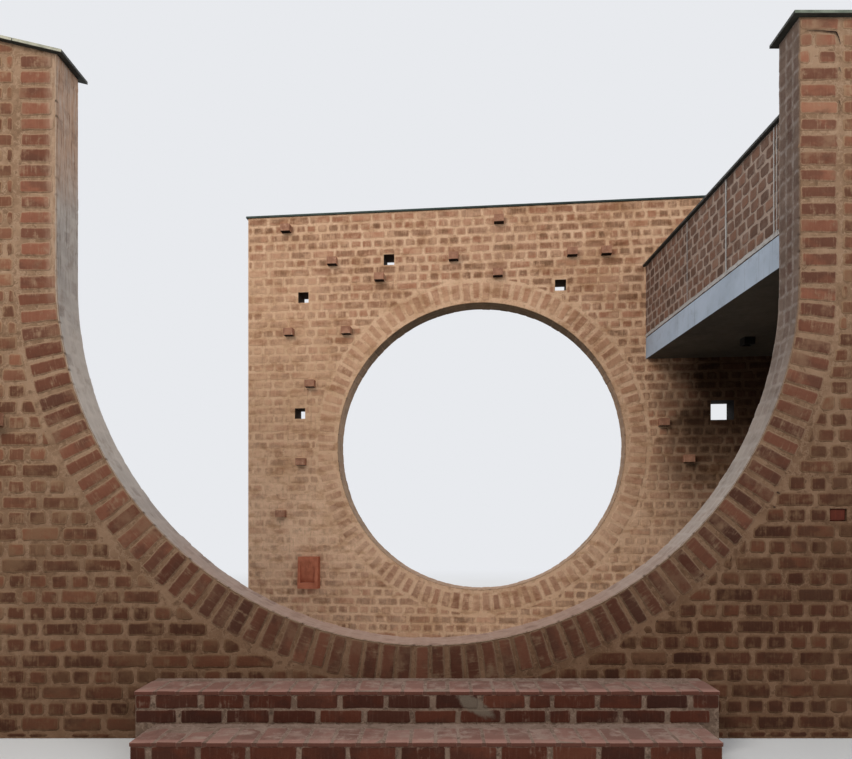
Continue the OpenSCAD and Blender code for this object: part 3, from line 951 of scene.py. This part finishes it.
def front_ring_face(back):
    """Ring bricks and jamb bricks of the front wall."""
    bricks = Masonry("front_ring_bricks" + back, bricks_ring, "ring_brick", 0.018)
    plane = front_plane(back)
    # Courses of the jambs go on to this height, and the tops of the walls cut them off
    above = 4.3
    for i in range(RING_BRICKS):
        angle = pi + RING_FIRST + i * RING_PITCH + rng.gauss(0, 0.0012)
        thick = RING_THICK * rng.gauss(1, 0.05)
        r_in = RING_R + rng.uniform(0.002, 0.009)
        r_out = RING_R + rng.uniform(0.220, 0.240)
        poly = voussoir(RING_Z, angle, r_in, r_out, thick, thick * rng.uniform(1.0, 1.08))
        low_down = 0.5 - 0.5 * cos(2 * (angle - pi))
        right = max(0.0, cos(angle))
        left = max(0.0, -cos(angle))
        tone = tone_near(0.56 - 0.03 * low_down - 0.55 * right * low_down - 0.12 * left, 0.15)
        turn = angle if cos(angle) > 0 else angle + pi
        bricks.add(plane, poly, 0.011, 0.0022, tone=tone, turn=turn)
    for sign, line, pitch, near, far, average, top in (
        (-1, LEFT_LINE, LEFT_PITCH, 0.030, 0.217, 0.55, rake_cut(0.02)),
        (1, RIGHT_LINE, RIGHT_PITCH, 0.003, 0.226, 0.70, LEVEL_CUT),
    ):
        for n, (low, high, _) in enumerate(rows_between(line, above, line, pitch, 0)):
            middle, half = (low + high) / 2, BRICK_H / 2 * rng.gauss(1, 0.04)
            whole = ((near + rng.gauss(0, 0.004), far + rng.gauss(0, 0.006)),)
            for a, b in SPLIT_COURSES.get(n, whole) if sign > 0 else whole:
                near_end, far_end = sign * (RING_R + a), sign * (RING_R + b)
                poly = brick_outline(near_end, far_end, middle, half, rng.gauss(0, 0.0012))
                poly = clip(poly[::sign], top)
                if big_enough(poly):
                    bricks.add(plane, poly, 0.012, 0.0024, tone=tone_near(average, 0.18))
    bricks.build()


# Rear wall


def rear_point(u, v, z=0.0):
    """A point given along the rear wall, into it from its front face, and up."""
    return (REAR_X + u * REAR_COS + v * REAR_SIN, REAR_Y - u * REAR_SIN + v * REAR_COS, z)


def rear_plane(back):
    way = 1 if back else -1
    origin = rear_point(0, WALL_T if back else 0)
    return Plane(origin, (REAR_COS, -REAR_SIN, 0), (way * REAR_SIN, way * REAR_COS, 0))


def rear_end_u(v):
    """Where the wall is cut off at the end of the wing."""
    return (FRONT_RIGHT - REAR_X - v * REAR_SIN) / REAR_COS


def rear_face(back):
    """Bricks of the rear wall's face outside the ring and round the holes."""
    bricks = Masonry("rear_wall_bricks" + back, bricks_rear, "rear_brick", 0.024, 0.003)
    end = rear_end_u(WALL_T if back else 0)
    rim = 0.012
    holes = [(centre, HOLE_SIZE) for centre in REAR_HOLES] + [(VENT, VENT_SIZE)]
    holes = [(centre, (width + rim, height + rim)) for centre, (width, height) in holes]
    circle = ((0, REAR_RING_Z), REAR_RING_OUTER + 0.018)
    cuts = edges(REAR_LEFT + 0.004, end - 0.004, MARGIN, REAR_TOP - 0.004)
    rows = rows_between(0, REAR_TOP, REAR_TOP, REAR_COURSE, 1)
    lay(bricks, rear_plane(back), rows, REAR_LEFT + MARGIN, end, cuts, circle, holes, REAR_SIZES,
        brick_h=REAR_BRICK_H)
    bricks.build()


def rear_ring_face(back):
    """Ring bricks of the rear wall, darker at the lower left."""
    bricks = Masonry("rear_ring_bricks" + back, bricks_rear_ring, "rear_ring_brick", 0.021, 0.003)
    for i in range(REAR_RING_BRICKS):
        angle = (i + 0.5) * 2 * pi / REAR_RING_BRICKS + rng.gauss(0, 0.002)
        thick = REAR_RING_THICK * rng.gauss(1, 0.06)
        r_in = REAR_RING_R + rng.uniform(0.025, 0.065)
        r_out = REAR_RING_R + rng.uniform(0.212, 0.230)
        poly = voussoir(REAR_RING_Z, angle, r_in, r_out, thick, thick * 1.12)
        lower_left = max(0.0, cos(angle - radians(235))) ** 4
        bricks.add(rear_plane(back), poly, turn=angle, darker=0.5 * lower_left)
    bricks.build()


# Ends of the walls, and the wing


def wall_ends():
    """Narrow ends of the ring walls: a stretcher course, then a course of two headers."""
    left_top = LEFT_TOP + (-RING_R - FRONT_LEFT) * RAKE_SLOPE
    front = (bricks_front, "front_brick", WALL_T)
    near, far = (rear_point(rear_end_u(v), v)[1] for v in (0, WALL_T))
    rear, courses = (bricks_rear, "rear_brick"), (REAR_TOP, REAR_TOP, REAR_COURSE)
    turned = ((-REAR_SIN, -REAR_COS, 0), (-REAR_COS, REAR_SIN, 0))
    left, right = ((0, -1, 0), (-1, 0, 0)), ((0, 1, 0), (1, 0, 0))
    for name, origin, ways, (material, slot, width), (height, line, pitch) in (
        ("front_left", (FRONT_LEFT, WALL_HALF, 0), left, front, (left_top, LEFT_LINE, LEFT_PITCH_LOW)),
        ("front_right", (FRONT_RIGHT, -WALL_HALF, 0), right, front, (RIGHT_TOP, RIGHT_LINE, RIGHT_PITCH_LOW)),
        ("rear_left", rear_point(REAR_LEFT, WALL_T), turned, (*rear, WALL_T), courses),
        ("rear_right", (FRONT_RIGHT, near, 0), right, (*rear, far - near), courses),
    ):
        bricks, plane = Masonry(name + "_end_bricks", material, slot), Plane(origin, *ways)
        for low, high, kind in rows_between(0, height, line, pitch, 0):
            middle, half = (low + high) / 2, BRICK_H / 2
            parts = [(0.007, width - 0.007)]
            if kind == "header":
                parts = [(0.008, width / 2 - 0.011), (width / 2 + 0.011, width - 0.008)]
            for start, end in parts:
                poly = rectangle(start, end, middle - half, middle + half)
                poly = clip(poly, *edges(0, width, MARGIN, height - 0.005))
                if big_enough(poly):
                    bricks.add(plane, poly)
        bricks.build()


def wing_line(x_front):
    """Plan points of the splayed side of the wing: at the front wall and at the rear wall."""
    a, b = tan(WING_SPLAY), tan(REAR_TURN)
    depth = REAR_Y - WALL_HALF
    x_end = (x_front - a * depth - a * b * REAR_X) / (1 - a * b)
    return (x_front, WALL_HALF), (x_end, REAR_Y - (x_end - REAR_X) * b)


def upright(start, end, out):
    """An upright plane between two plan points, and its length. out is the sign of its normal's X."""
    length = dist(start, end)
    x, y = ((b - a) / length for a, b in zip(start, end))
    way = 1 if y * out > 0 else -1
    return Plane((*start, 0), (x, y, 0), (way * y, -way * x, 0)), length


def strip_face(name, start, end, out, low, high, courses, headers):
    """Bricks on one face of a parapet or of the end wall. headers lays header courses only."""
    bricks = Masonry(name, bricks_wing, "wing_brick", shoulder=CRISP)
    plane, length = upright(start, end, out)
    cuts = edges(MARGIN, length - MARGIN, low + MARGIN, high - MARGIN)
    rows = list(rows_between(low, high - 0.001, low, (high - low) / courses, 0))
    if not headers:
        lay(bricks, plane, rows, 0.008, length, cuts)
    else:
        shift = 0.062
        for n, (bottom, top, _) in enumerate(rows):
            lay(bricks, plane, [(bottom, top, "header")], -shift * (n % 2), length, cuts,
                sizes=PARAPET_SIZES, closer=0, brick_h=PARAPET_BRICK_H)
    bricks.build()


def wing_faces():
    """Bricks of the parapets and of the wall that closes the wing."""
    outer, inner = wing_line(WING_X), wing_line(WING_X + WALL_T / cos(WING_SPLAY))
    inside, outside = (
        ((x, WALL_HALF), (x, REAR_Y - (x - REAR_X) * tan(REAR_TURN)))
        for x in (END_WALL_X, FRONT_RIGHT)
    )
    foot, parapet = SLAB_HIGH + 0.02, (PARAPET_TOP, PARAPET_COURSES)
    wall = (0, SLAB_LOW, 31)
    for name, line, out, levels, headers in (
        ("wing_parapet_bricks", outer, -1, (foot, *parapet), True),
        ("wing_parapet_bricks_inside", inner, 1, (foot, *parapet), True),
        ("end_wall_bricks_inside", inside, -1, wall, False),
        ("end_wall_bricks", outside, 1, wall, False),
        ("end_parapet_bricks_inside", inside, -1, (SLAB_HIGH, *parapet), False),
        ("end_parapet_bricks", outside, 1, (SLAB_HIGH, *parapet), False),
    ):
        strip_face(name, *line, out, *levels, headers)


# Reveals


def soft_noise(seed, waves, low, high):
    """A smooth random function of one or two lengths in metres, within about -1..1."""
    own = random.Random(seed)
    terms = []
    for _ in range(waves):
        a = own.uniform(low, high) * own.choice((-1, 1))
        terms.append((a, own.uniform(low, high) * 0.6, own.uniform(0, 6.28)))

    def value(s, y=0.0):
        return sum(np.sin(a * s + b * y + c) for a, b, c in terms) / (waves**0.5 * 1.2)

    return value


def reveal(name, path, material, slot, seed, closed=False):
    """Wash over the inner surface of an opening.

    path gives a point, the inward direction, the direction across, the course number there, how
    much bricks show, and how far the wash is smeared onto the front face.
    """
    own = random.Random(seed)
    wave, fine = soft_noise(seed, 7, 4, 26), soft_noise(seed + 1, 7, 40, 110)
    ragged = soft_noise(seed + 2, 9, 6, 110)
    rim = np.array([0.0, 0.004, 0.009, 0.016])
    across = np.concatenate([rim, np.linspace(0.026, WALL_T - 0.026, 15), WALL_T - rim[::-1]])
    levels = [own.uniform(0.1, 1.0) for _ in range(200)]
    gaps = [own.choice((0, 0, 0.4, 1.0)) for _ in range(200)]
    columns = 3 * across / WALL_T
    lift = np.clip(np.minimum(across, WALL_T - across) / 0.010, 0, 1) ** 0.5
    swell = 0.35 + 0.65 * np.abs(np.sin(pi * columns)) ** 0.3
    # Forward of the face and away from the opening, as shares of the smear's width
    turned = ((0.0010, 1.0), (0.0044, 0.8), (0.0046, 0.3), (0.0030, 0.05))
    verts, cell, notch = [], [], []
    for point, inward, along, course, shows, smear in path:
        n = floor(course)
        f = course - n
        point, inward, along = np.array(point), np.array(inward), np.array(along)
        bulge = min(1.0, 2.6 * sin(pi * f)) * swell
        length = course * 0.095
        base = 0.0012 + 0.0034 * levels[n] * bulge + 0.0012 * wave(length, across)
        base = base + 0.0045 * levels[-n] * bulge * np.clip((across - 0.15) / 0.06, 0, 1)
        base = np.maximum(base + 0.0005 * fine(length, across), 0.0004)
        off = lift * base - 0.0012 * (1 - lift)
        reach = smear * max(0.25, 1 + 0.35 * ragged(length))
        for forward, away in turned:
            verts.append(point - along * forward - inward * (away * reach + 0.0012))
        verts += [point + inward * o + along * y for y, o in zip(across, off)]
        cell += [(-0.1, course, shows)] * len(turned)
        cell += [(column, course, shows) for column in columns]
        joint = exp(-((min(f, 1 - f) / 0.08) ** 2)) * gaps[n]
        notch += [joint] * len(turned) + list(joint * np.exp(-((across / 0.010) ** 2)))
    m, rows = len(turned) + len(across), len(path)
    faces = []
    for i in range(rows if closed else rows - 1):
        low, high = i * m, (i + 1) % rows * m
        faces += [(low + j, high + j, high + j + 1, low + j + 1) for j in range(m - 1)]
    mesh_piece(name, verts, faces, material, slot, {"cell": cell, "notch": notch})


def front_reveal():
    """Left jamb, half ring and right jamb. Brick ends show most on the right jamb."""
    path, step, back = [], 0.011, (0, 1, 0)
    z = LEFT_TOP - 0.002
    while z > RING_Z:
        course = (LEFT_LINE - z) / LEFT_PITCH
        path.append(((-RING_R, -WALL_HALF, z), (1, 0, 0), back, course, 0.16, 0.008))
        z -= step
    count = int(pi * RING_R / step)
    for i in range(count + 1):
        share = i / count
        a = pi + pi * share
        c, s = cos(a), sin(a)
        shows = 0.16 + 0.14 * share + 0.5 * max(0.0, share - 0.87) / 0.13
        course = (a - pi - RING_FIRST) / RING_PITCH + 0.5
        smear = 0.008 - 0.005 * min(1.0, 8 * share)
        point = (RING_R * c, -WALL_HALF, RING_Z + RING_R * s)
        path.append((point, (-c, 0, -s), back, course, shows, smear))
    z = RING_Z + step
    while z < RIGHT_TOP - 0.002:
        course = RING_BRICKS + (z - RIGHT_LINE) / RIGHT_PITCH
        path.append(((RING_R, -WALL_HALF, z), (-1, 0, 0), back, course, 0.86, 0.003))
        z += step
    reveal("front_ring_wash", path, wash_front, "ring_brick", 21)


def rear_reveal():
    """The whole ring of the rear wall."""
    path, count = [], 860
    for i in range(count):
        c, s = cos(2 * pi * i / count), sin(2 * pi * i / count)
        point = rear_point(REAR_RING_R * c, 0, REAR_RING_Z + REAR_RING_R * s)
        inward = (-c * REAR_COS, c * REAR_SIN, -s)
        course = i * REAR_RING_BRICKS / count
        path.append((point, inward, (REAR_SIN, REAR_COS, 0), course, 0.35, 0.003))
    reveal("rear_ring_wash", path, wash_rear, "rear_ring_brick", 31, closed=True)


# Steps

# Faces of a box whose corners are listed by x, then y, then z
BOX_FACES = ((0, 1, 3, 2), (4, 6, 7, 5), (0, 4, 5, 1), (2, 3, 7, 6), (0, 2, 6, 4), (1, 5, 7, 3))


def tread(step):
    """Tread bricks laid front to back on a mortar bed."""
    name = step + "_tread"
    low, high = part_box(name)
    bricks = Masonry(name + "_bricks", bricks_tread, "step_brick", 0.010, 0.0026, 0.45, CRISP)
    relief = 0.003
    plane = Plane((0, 0, high.z - relief), (1, 0, 0), (0, 0, 1), (0, 1, 0))
    x = low.x
    while x < high.x - 0.03:
        right = min(x + TREAD_WIDTH * rng.gauss(1, 0.04), high.x)
        if high.x - right < 0.05:
            right = high.x
        front = low.y + rng.uniform(0.0, 0.0015)
        poly = rectangle(x, right, front, low.y + TREAD_LENGTH + rng.gauss(0, 0.004))
        bricks.add(plane, poly, 0.006, 0.0, high.z - low.z - relief, turn=pi / 2)
        x = right + TREAD_JOINT * rng.uniform(0.8, 1.2)
    piece = bricks.build()
    inset = 0.004
    verts = [
        (x, y, z)
        for x in (low.x + inset, high.x - inset)
        for y in (low.y + inset, high.y)
        for z in (low.z, high.z - 0.0022)
    ]
    mesh_piece(name + "_bricks_bed", verts, BOX_FACES, mortar_tread, "step_brick", smooth=False)
    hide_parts(name)


def riser(step, courses):
    """Two courses of bricks on the front of a step, and brick ends on its sides."""
    low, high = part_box(step + "_tread")
    bricks = Masonry(step + "_riser_bricks", bricks_step, "step_brick", 0.009, 0.0035, shoulder=CRISP)
    bottom = high.z - TREAD_THICKNESS - 2 * STEP_COURSE
    inset, bed = 0.006, 0.006
    front, left, right = low.y + inset, low.x + inset, high.x - inset
    plane = Plane((0, front, 0), (1, 0, 0), (0, -1, 0))
    for row, (joint, half) in enumerate(courses):
        z0 = bottom + row * STEP_COURSE + bed
        z1 = z0 + 0.068 + 0.004 * row
        for way in (1, -1):
            x = joint + way * STEP_JOINT / 2
            shorter = half and way > 0
            while left < x < right:
                length = STEP_HALF if shorter else (STEP_PITCH - STEP_JOINT) * rng.gauss(1, 0.02)
                shorter = False
                x0, x1 = sorted((x, x + way * length))
                poly = [(x0, z0), (x1, z0), (x1, z1 + rng.gauss(0, 0.001)), (x0, z1)]
                poly = clip(poly, (1, 0, left + 0.001), (-1, 0, 0.001 - right))
                if big_enough(poly):
                    bricks.add(plane, poly)
                x += way * (length + STEP_JOINT * rng.uniform(0.8, 1.2))
    lengths = (((0.012, 0.212), (0.236, 0.292)), ((0.012, 0.112), (0.138, 0.292)))
    for sign, x in ((-1, left), (1, right)):
        side = Plane((x, 0, 0), (0, 1, 0), (sign, 0, 0))
        for row in range(-2, 2):
            z0 = bottom + row * STEP_COURSE + bed
            if z0 > 0:
                for a, b in lengths[row % 2]:
                    bricks.add(side, rectangle(front + a, front + b, z0, z0 + 0.069))
    bricks.build()


# Cracks and mortar lines


def ribbons(name, parts, material, slot):
    """Thin strips as one piece. Each is a plane, a line, the widths at its ends and its lift."""
    own = random.Random(name)
    verts, faces = [], []
    for plane, line, widths, lift in parts:
        line = [np.array(p, float) for p in line]
        fine = []
        for a, b in zip(line, line[1:]):
            count = max(1, int(np.linalg.norm(b - a) / 0.02))
            fine += [a + (b - a) * k / count for k in range(count)]
        fine.append(line[-1])
        flat, last, first = [], len(fine) - 1, len(verts)
        for k, point in enumerate(fine):
            ahead = fine[min(k + 1, last)] - fine[max(k - 1, 0)]
            side = np.array([-ahead[1], ahead[0]]) / max(np.linalg.norm(ahead), 1e-9)
            half = (widths[0] + (widths[1] - widths[0]) * k / max(1, last)) / 2
            flat.append(point - side * half * own.uniform(0.7, 1.2))
            flat.append(point + side * half * own.uniform(0.7, 1.2))
        verts += list(plane.points(np.array(flat), np.full(len(flat), lift)))
        for k in range(first, first + 2 * last, 2):
            faces.append(plane.outward((k, k + 2, k + 3, k + 1)))
    mesh_piece(name, verts, faces, material, slot)


def cracks():
    """Open joint under the first course of the right wall, running down behind the jamb bricks."""
    plane, lift = front_plane(""), 0.0058
    lines = (
        ([(2.232, 4.172), (2.30, 4.171), (2.37, 4.166), (2.405, 4.162)], (0.003, 0.010), 0.0062),
        ([(2.405, 4.164), (2.421, 4.13), (2.430, 4.09)], (0.009, 0.003), lift),
        ([(2.424, 3.955), (2.432, 3.93)], (0.004, 0.003), lift),
        ([(2.421, 3.76), (2.430, 3.735)], (0.005, 0.003), lift),
        ([(2.055, 1.452), (2.075, 1.444)], (0.010, 0.006), lift),
        ([(2.035, 1.366), (2.048, 1.362)], (0.010, 0.008), lift),
    )
    ribbons("wall_cracks", [(plane, *line) for line in lines], crack_material(), "front_brick")


def wing_lines():
    """Light strip of mortar over the slab, and the upright joints of the parapet."""
    start, end = wing_line(WING_X)
    plane, length = upright(start, end, -1)
    foot = SLAB_HIGH + 0.014
    parts = [(plane, [(0.003, foot), (length - 0.003, foot)], (0.034, 0.030), 0.0030)]
    for y, width in ((0.315, 0.009), (0.351, 0.014), (1.03, 0.024), (1.751, 0.012)):
        s = (y - start[1]) / plane.along[1]
        parts.append((plane, [(s, foot), (s + 0.002, PARAPET_TOP - 0.004)], (width, width), 0.0082))
    ribbons("parapet_joints", parts, mortar_pale, "wing_brick")


# Copings


def coping(side, slab_length, seed):
    """Stone slabs end to end on one front wall. They slope down where the node's box is taller."""
    own = random.Random(seed)
    low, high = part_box("front_coping_right")
    thickness = high.z - low.z
    low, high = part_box("front_coping_" + side)
    start = np.array((low.x, low.y, high.z - thickness))
    end = np.array((high.x, low.y, low.z))
    lean, up = np.array((0, high.y - low.y, 0)), np.array((0, 0, 1.0))
    length = np.linalg.norm(end - start)
    along = (end - start) / length
    verts, faces, s, joint = [], [], 0.0, 0.004
    while s < length - 1e-6:
        slab_end = s + slab_length * own.uniform(0.85, 1.15)
        if length - slab_end < 0.35 * slab_length:
            slab_end = length
        right = slab_end if slab_end >= length else slab_end - joint
        inset = [own.uniform(0, 0.003) / 0.3 if s > 0 else 0 for _ in range(2)]
        drop = own.uniform(0, 0.0015)
        faces += [tuple(len(verts) + i for i in face) for face in BOX_FACES]
        verts += [
            start + along * a + lean * w + up * h
            for a in (s, right)
            for w in (inset[0], 1 - inset[1])
            for h in (0.0, thickness - drop)
        ]
        s = slab_end
    piece = mesh_piece("coping_" + side, verts, faces, slate, "slate", smooth=False)
    bevel(piece, 0.0025)
    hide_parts("front_coping_" + side)


def bevel(piece, width):
    """Softens the edges of a piece."""
    modifier = piece.modifiers.new("worn edges", "BEVEL")
    modifier.width, modifier.segments, modifier.limit_method = width, 2, "ANGLE"


# Looks of the CAD nodes: start of the name, material, slot and width of worn edges; later lines win
NODE_LOOKS = (
    ("front_", mortar_front, "front_brick", 0),
    ("rear_", mortar_rear, "rear_brick", 0),
    ("lower_", mortar_step, "step_brick", 0),
    ("upper_", mortar_step, "step_brick", 0),
    ("wing_", mortar_wing, "wing_brick", 0),
    ("wing_slab", concrete_material(), "concrete", 0.004),
    ("rear_coping", slate_thin, "slate", 0.003),
    ("wing_parapet_coping", slate_thin, "slate", 0.003),
    ("wing_end_coping", slate_thin, "slate", 0.003),
    ("soffit_lamp", lamp_material(), "dark_metal", 0.002),
    ("terracotta_hood", clay_material(), "terracotta", 0.005),
    ("front_projecting_brick", bricks_single, "rear_brick", 0.006),
    ("rear_projecting_bricks", bricks_single, "rear_brick", 0.006),
)


def paint_nodes():
    for name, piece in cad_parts.items():
        if name.startswith("front_coping"):
            continue
        _, material, slot, edge = [look for look in NODE_LOOKS if name.startswith(look[0])][-1]
        piece.data.materials.clear()
        piece.data.materials.append(material)
        if edge:
            bevel(piece, edge)


# Floor, light and camera


def lamp(name, place, target, size, power, colour):
    data = bpy.data.lights.new(name, "AREA")
    data.shape, data.size, data.energy, data.color = "DISK", size, power, colour
    item = add_object(name, data)
    item.location = place
    aim = Vector(target) - Vector(place)
    item.rotation_euler = aim.to_track_quat("-Z", "Y").to_euler()


def add_floor():
    size = 60.0
    mesh = bpy.data.meshes.new("floor")
    corners = [(x, y, 0) for x, y in rectangle(-size, size, -size, size)]
    mesh.from_pydata(corners, [], [(0, 1, 2, 3)])
    mesh.materials.append(floor_material())
    item = add_object("floor", mesh)
    item.location.z = -0.002


def add_world():
    """Even grey light, with the backdrop's colour for the camera."""
    world = bpy.data.worlds.new("studio")
    bpy.context.scene.world = world
    world.use_nodes = True
    tree = world.node_tree
    paths = tree.nodes.new("ShaderNodeLightPath")
    seen = tree.nodes.new("ShaderNodeMix")
    seen.data_type = "RGBA"
    tree.links.new(paths.outputs["Is Camera Ray"], seen.inputs[0])
    seen.inputs[6].default_value = (0.50, 0.52, 0.55, 1)
    seen.inputs[7].default_value = srgb(*BACKDROP)
    tree.links.new(seen.outputs[2], tree.nodes["Background"].inputs["Color"])


def add_camera():
    """Camera at the photograph's place, level and square to the front wall."""
    data = bpy.data.cameras.new("camera")
    camera = add_object("camera", data)
    camera.location = EYE
    camera.rotation_euler = (radians(90), 0, 0)
    data.sensor_width = 36.0
    data.lens = FOCAL / PHOTO_WIDTH * data.sensor_width
    data.shift_x = (PHOTO_WIDTH / 2 - VANISHING[0]) / PHOTO_WIDTH
    data.shift_y = (VANISHING[1] - PHOTO_HEIGHT / 2) / PHOTO_WIDTH
    bpy.context.scene.camera = camera


paint_nodes()
pocket_brick()
for back in ("", "_back"):
    front_face(back)
    front_ring_face(back)
    rear_face(back)
    rear_ring_face(back)
wall_ends()
wing_faces()
front_reveal()
rear_reveal()
for step in RISERS:
    tread(step)
for step, courses in RISERS.items():
    riser(step, courses)
coping("left", 0.62, 3)
coping("right", 0.66, 4)
cracks()
wing_lines()

add_floor()
add_world()
lamp("key", (-5.5, -7.0, 8.5), (0.4, 0.5, 1.6), 6.0, 620, (1.0, 0.97, 0.93))
lamp("fill", (7.0, -6.0, 5.0), (0.4, 0.5, 1.8), 7.0, 300, (0.95, 0.97, 1.0))
lamp("back", (1.0, 10.0, 8.0), (0.4, 2.0, 2.0), 7.0, 420, (1.0, 0.98, 0.95))
add_camera()
bpy.context.scene.view_settings.view_transform = "Standard"
